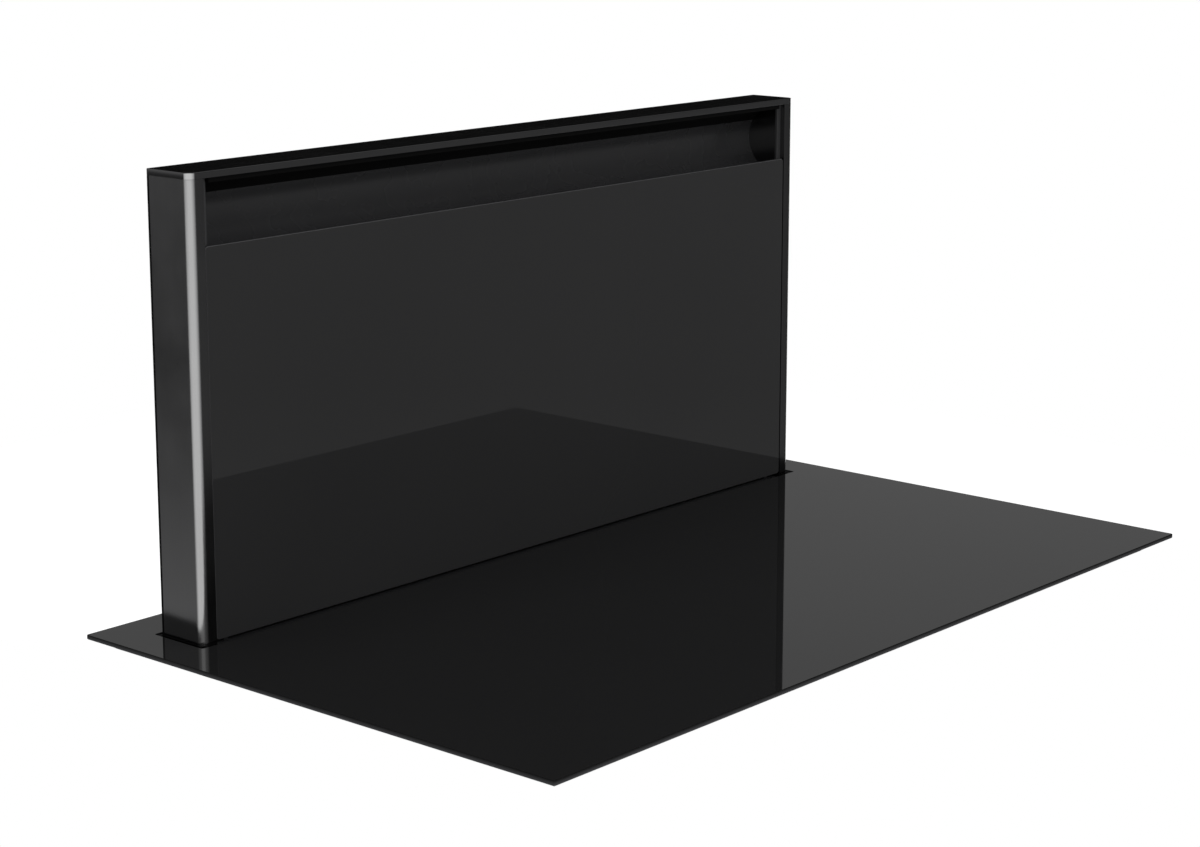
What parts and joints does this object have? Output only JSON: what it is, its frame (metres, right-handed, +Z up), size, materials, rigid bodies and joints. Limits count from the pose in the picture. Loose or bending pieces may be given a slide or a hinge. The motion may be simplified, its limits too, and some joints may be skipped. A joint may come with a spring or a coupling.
{
  "type": "downdraft induction cooktop",
  "caption": "Black glass induction cooktop with an extraction tower raised through a slot at its rear, over its lift, coils, blower and duct outlet.",
  "frame": {"origin": "centre of the glass plate, on the worktop's top face that it rests on", "axes": "+X to the user's right, +Y away from the user towards the tower, +Z up"},
  "size_m": [0.908, 0.524, 0.9945],
  "materials": {
    "black_glass": "gloss black glass ceramic, opaque, with a fine ground edge",
    "tower_black": "satin black lacquered aluminium profile",
    "rear_black": "satin black lacquered sheet",
    "cap_black": "semi-gloss black lacquer on aluminium",
    "deflector_black": "gloss black lacquer on a rolled sheet",
    "seal_grey": "grey foam strip",
    "trim_black": "matt black",
    "wiper_rubber": "soft black silicone",
    "galvanised": "galvanised sheet with faint spangle",
    "zinc": "zinc-plated steel",
    "aluminium": "mill-finish aluminium sheet",
    "copper": "lacquered copper litz winding",
    "ferrite": "dark sintered ferrite on mica board",
    "board_green": "green solder mask with parts",
    "heatsink": "extruded aluminium fins",
    "fan_black": "black glass-filled plastic",
    "touch_dark": "dark circuit board",
    "belt_rubber": "black reinforced flat belt",
    "scroll_plastic": "dark grey moulded plastic",
    "motor_grey": "grey lacquered motor housing",
    "bearing_plastic": "black acetal",
    "gland_black": "black nylon",
    "conduit_black": "black corrugated conduit",
    "light_diffuser": "opal diffuser",
    "rail_dark": "dark lacquered folded steel",
    "base_steel": "grey lacquered folded steel",
    "shoe_nylon": "natural nylon",
    "filter_aluminium": "brushed aluminium slats",
    "bright_steel": "ground bright steel",
    "pulley_steel": "dark sintered steel",
    "wheel_black": "black moulded blower wheel",
    "flap_plastic": "dark moulded flap",
    "drip_plastic": "dark grey moulded tray"
  },
  "bodies": {
    "base": {"glass_plate": "black_glass", "plate_seal": "seal_grey", "slot_trim": "trim_black", "slot_wiper": "wiper_rubber", "under_frame": "zinc", "induction_tray": "galvanised", "coil_plate": "aluminium", "coil_front_left": "copper", "coil_front_right": "copper", "coil_rear_left": "copper", "coil_rear_right": "copper", "coil_bases": "ferrite", "power_boards": "board_green", "heatsinks": "heatsink", "fan_frames": "fan_black", "touch_board": "touch_dark", "shaft_front": "galvanised", "shaft_rear": "galvanised", "shaft_side_left": "galvanised", "shaft_side_right": "galvanised", "shaft_floor": "galvanised", "guide_rails": "zinc", "lift_motor": "motor_grey", "bearing_blocks": "bearing_plastic", "lift_belts": "belt_rubber", "idler_pins": "bright_steel", "scroll_housing": "scroll_plastic", "scroll_cover": "scroll_plastic", "blower_motor": "motor_grey", "duct_outlet": "scroll_plastic", "flap_pin": "bright_steel", "control_box": "zinc", "control_lid": "zinc", "control_board": "board_green", "mains_gland": "gland_black", "supply_conduit": "conduit_black", "clamp_brackets": "zinc", "clamp_screws": "bright_steel", "foot_brackets": "zinc", "panel_screws": "bright_steel"},
    "tower": {"tower_end_left": "tower_black", "tower_end_right": "tower_black", "top_cap": "cap_black", "rear_panel": "rear_black", "intake_deflector": "deflector_black", "light_bar": "light_diffuser", "bottom_rail": "rail_dark", "base_frame": "base_steel", "guide_shoes": "shoe_nylon"},
    "front_panel": {"front_glass": "black_glass", "panel_back": "rail_dark"},
    "filter": {"grease_filter": "filter_aluminium"},
    "lift_drive": {"cross_shaft": "bright_steel"},
    "idlers": {"idler_pulleys": "pulley_steel"},
    "blower_wheel_body": {"blower_wheel": "wheel_black"},
    "fan_left": {"fan_rotor_left": "fan_black"},
    "fan_right": {"fan_rotor_right": "fan_black"},
    "flap_front": {"outlet_flap_front": "flap_plastic"},
    "flap_rear": {"outlet_flap_rear": "flap_plastic"},
    "drip_drawer": {"drip_tray": "drip_plastic"}
  },
  "joints": [
    {"name": "tower_lift", "type": "slide", "parent": "base", "child": "tower", "axis": [0, 0, 1], "range_m": [-0.39, 0]},
    {"name": "panel_tilt", "type": "hinge", "parent": "tower", "child": "front_panel", "pos_m": [0, 0.172, 0.0085], "axis": [1, 0, 0], "range_deg": [0, 25]},
    {"name": "filter_tip", "type": "hinge", "parent": "tower", "child": "filter", "pos_m": [0, 0.1868, 0.006], "axis": [1, 0, 0], "range_deg": [0, 9]},
    {"name": "drive_spin", "type": "hinge", "parent": "base", "child": "lift_drive", "pos_m": [0, 0.176, -0.524], "axis": [1, 0, 0], "range_deg": [-1, 1682]},
    {"name": "idler_spin", "type": "hinge", "parent": "base", "child": "idlers", "pos_m": [0, 0.176, -0.04], "axis": [1, 0, 0], "range_deg": [-1, 1682]},
    {"name": "blower_spin", "type": "hinge", "parent": "base", "child": "blower_wheel_body", "pos_m": [-0.06, 0.08, -0.33], "axis": [0, 1, 0], "continuous": true},
    {"name": "fan_left_spin", "type": "hinge", "parent": "base", "child": "fan_left", "pos_m": [-0.358, 0.058, -0.047], "axis": [0, 0, 1], "continuous": true},
    {"name": "fan_right_spin", "type": "hinge", "parent": "base", "child": "fan_right", "pos_m": [0.358, 0.058, -0.047], "axis": [0, 0, 1], "continuous": true},
    {"name": "flap_front_open", "type": "hinge", "parent": "base", "child": "flap_front", "pos_m": [0.19, 0.0605, -0.198], "axis": [0, 0, 1], "range_deg": [0, 80], "stiffness_Nm_per_rad": 0.02, "springref_deg": -5.73},
    {"name": "flap_rear_open", "type": "hinge", "parent": "base", "child": "flap_rear", "pos_m": [0.19, 0.0605, -0.198], "axis": [0, 0, -1], "range_deg": [0, 80], "stiffness_Nm_per_rad": 0.02, "springref_deg": -5.73},
    {"name": "drip_tray_pull", "type": "slide", "parent": "base", "child": "drip_drawer", "axis": [0, -1, 0], "range_m": [0, 0.09]}
  ],
  "couplings": [
    {"joint": "drive_spin", "follows": "tower_lift", "rad_per_m": -75.188},
    {"joint": "idler_spin", "follows": "tower_lift", "rad_per_m": -75.188},
    {"joint": "filter_tip", "follows": "panel_tilt", "ratio": 0.36}
  ]
}
